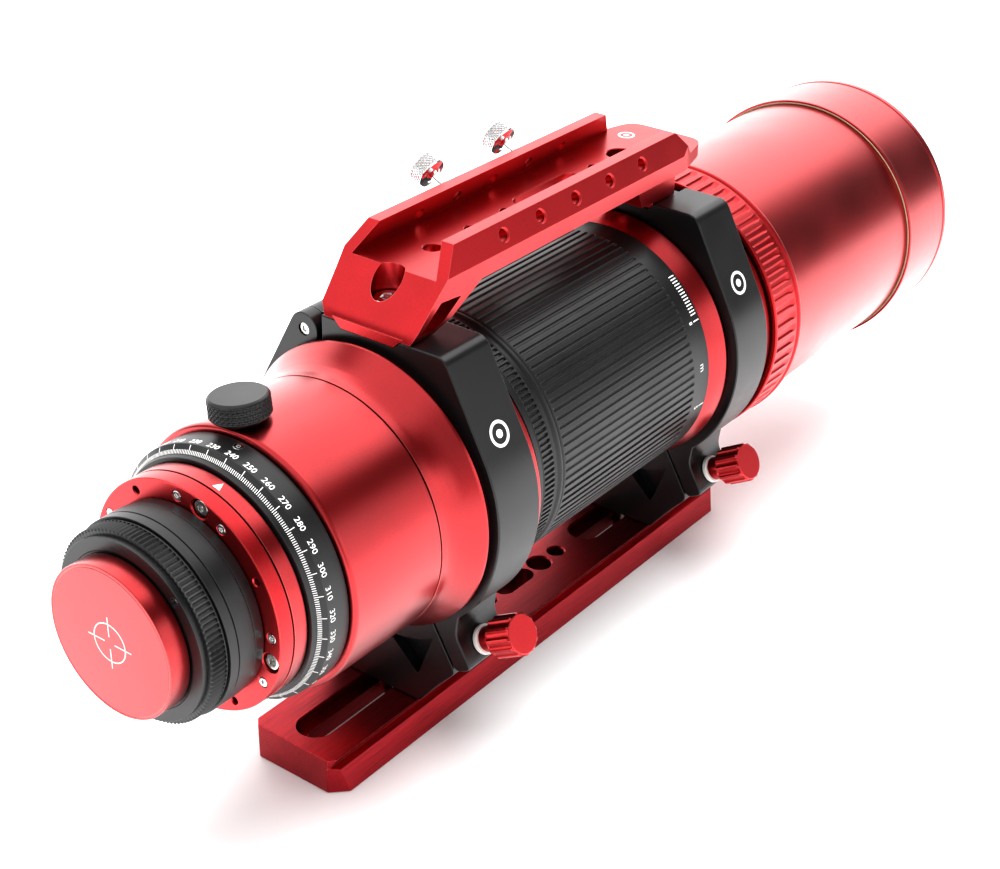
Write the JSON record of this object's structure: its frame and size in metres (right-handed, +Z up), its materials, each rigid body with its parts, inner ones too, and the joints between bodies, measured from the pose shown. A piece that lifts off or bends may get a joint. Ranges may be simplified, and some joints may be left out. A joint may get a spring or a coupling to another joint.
{
  "type": "refracting telescope in tube rings",
  "caption": "Compact refracting telescope tube with focus ring, dew shield, camera adapter and tilt plate, held in hinged tube rings on a dovetail plate with a saddle bar on top.",
  "frame": {"origin": "on the dovetail plate's bottom face and its centre line, midway along the solid stretch between its rear slot and its first round hole, 93.4 mm ahead of its rear end", "axes": "+Y along the optical axis towards the sky, +Z up from the plate to the tube, +X to the right for someone standing behind the telescope"},
  "size_m": [0.1177, 0.4487, 0.1918],
  "materials": {
    "red_anodised": "satin red anodised",
    "brushed_red": "brushed along its length and anodised dark red",
    "black_anodised": "satin black anodised",
    "steel": "bright stainless steel",
    "nylon": "white nylon",
    "felt": "cream felt",
    "glass": "coated optical glass"
  },
  "bodies": {
    "base": {"dovetail_plate": "brushed_red", "rear_plate_screw": "steel", "front_plate_screw": "steel", "rear_ring_base": "black_anodised", "front_ring_base": "black_anodised", "rear_hinge_pin": "steel", "front_hinge_pin": "steel", "rear_tube": "red_anodised", "main_barrel": "red_anodised", "front_tube": "red_anodised", "angle_scale_ring": "black_anodised", "scale_set_screw": "steel", "lens_cell": "black_anodised", "objective_rear_lens": "glass", "objective_front_lens": "glass", "objective_retaining_ring": "black_anodised"},
    "ring_tops": {"rear_ring_top": "black_anodised", "front_ring_top": "black_anodised", "saddle_bar": "red_anodised", "rear_saddle_screw": "steel", "rear_clamp_washer": "nylon", "front_clamp_washer": "nylon"},
    "rear_clamp": {"rear_clamp_knob": "red_anodised", "rear_clamp_stud": "steel"},
    "front_clamp": {"front_clamp_knob": "red_anodised", "front_clamp_stud": "steel"},
    "rear_thumb": {"rear_thumbscrew": "steel"},
    "front_thumb": {"front_thumbscrew": "steel"},
    "focus": {"focus_ring": "black_anodised", "focus_drive_gear": "black_anodised"},
    "focus_group": {"focus_cell": "black_anodised", "cam_pin_1": "steel", "cam_pin_2": "steel", "cam_pin_3": "steel", "focus_lens": "glass", "focus_lens_retainer": "black_anodised"},
    "lock": {"lock_knob": "black_anodised"},
    "rotator": {"rotator_ring": "red_anodised", "pull_screw_1": "steel", "pull_screw_2": "steel", "pull_screw_3": "steel", "pull_screw_4": "steel"},
    "tilt": {"tilt_plate": "red_anodised", "push_screw_1": "steel", "push_screw_2": "steel", "push_screw_3": "steel", "push_screw_4": "steel", "push_screw_5": "steel", "push_screw_6": "steel", "push_screw_7": "steel", "push_screw_8": "steel", "camera_adapter": "black_anodised", "adapter_knurled_ring": "black_anodised", "adapter_grub_screw": "steel"},
    "rear_cap": {"rear_cap": "red_anodised"},
    "dew_shield": {"dew_shield": "red_anodised", "dew_grip_ring": "red_anodised", "dew_felt_ring": "felt"},
    "front_cap": {"front_cap": "red_anodised", "front_cap_felt": "felt"}
  },
  "joints": [
    {"name": "rings_open", "type": "hinge", "parent": "base", "child": "ring_tops", "pos_m": [-0.02854, 0, 0.14853], "axis": [0, -1, 0], "range_deg": [0, 95]},
    {"name": "rear_clamp_turn", "type": "hinge", "parent": "ring_tops", "child": "rear_clamp", "pos_m": [0.03329, -0.0364, 0.04013], "axis": [0.8686, 0, 0.4955], "range_deg": [0, 720]},
    {"name": "front_clamp_turn", "type": "hinge", "parent": "ring_tops", "child": "front_clamp", "pos_m": [0.03329, 0.1136, 0.04013], "axis": [0.8686, 0, 0.4955], "range_deg": [0, 720]},
    {"name": "rear_thumb_turn", "type": "hinge", "parent": "ring_tops", "child": "rear_thumb", "pos_m": [-0.02035, 0.0206, 0.1802], "axis": [-0.9027, 0, 0.4303], "range_deg": [0, 720]},
    {"name": "front_thumb_turn", "type": "hinge", "parent": "ring_tops", "child": "front_thumb", "pos_m": [-0.02035, 0.0622, 0.1802], "axis": [-0.9027, 0, 0.4303], "range_deg": [0, 720]},
    {"name": "focus_turn", "type": "hinge", "parent": "base", "child": "focus", "pos_m": [0, 0, 0.0985], "axis": [0, 1, 0], "range_deg": [0, 108]},
    {"name": "focus_slide", "type": "slide", "parent": "base", "child": "focus_group", "axis": [0, 1, 0], "range_m": [0, 0.0075]},
    {"name": "lock_turn", "type": "hinge", "parent": "base", "child": "lock", "pos_m": [0, -0.1021, 0.0985], "axis": [-0.1028, 0, 0.9947], "range_deg": [0, 360]},
    {"name": "camera_rotate", "type": "hinge", "parent": "base", "child": "rotator", "pos_m": [0, -0.1294, 0.0985], "axis": [0, 1, 0], "continuous": true},
    {"name": "tilt_adjust", "type": "hinge", "parent": "rotator", "child": "tilt", "pos_m": [0, -0.12975, 0.0985], "axis": [1, 0, 0], "range_deg": [-0.4, 0.4]},
    {"name": "rear_cap_pull", "type": "slide", "parent": "tilt", "child": "rear_cap", "axis": [0, -1, 0], "range_m": [0, 0.02]},
    {"name": "dew_shield_slide", "type": "slide", "parent": "base", "child": "dew_shield", "axis": [0, 1, 0], "range_m": [0, 0.06]},
    {"name": "front_cap_pull", "type": "slide", "parent": "dew_shield", "child": "front_cap", "axis": [0, 1, 0], "range_m": [0, 0.04]}
  ],
  "couplings": [
    {"joint": "focus_slide", "follows": "focus_turn", "m_per_rad": 0.0039788}
  ]
}
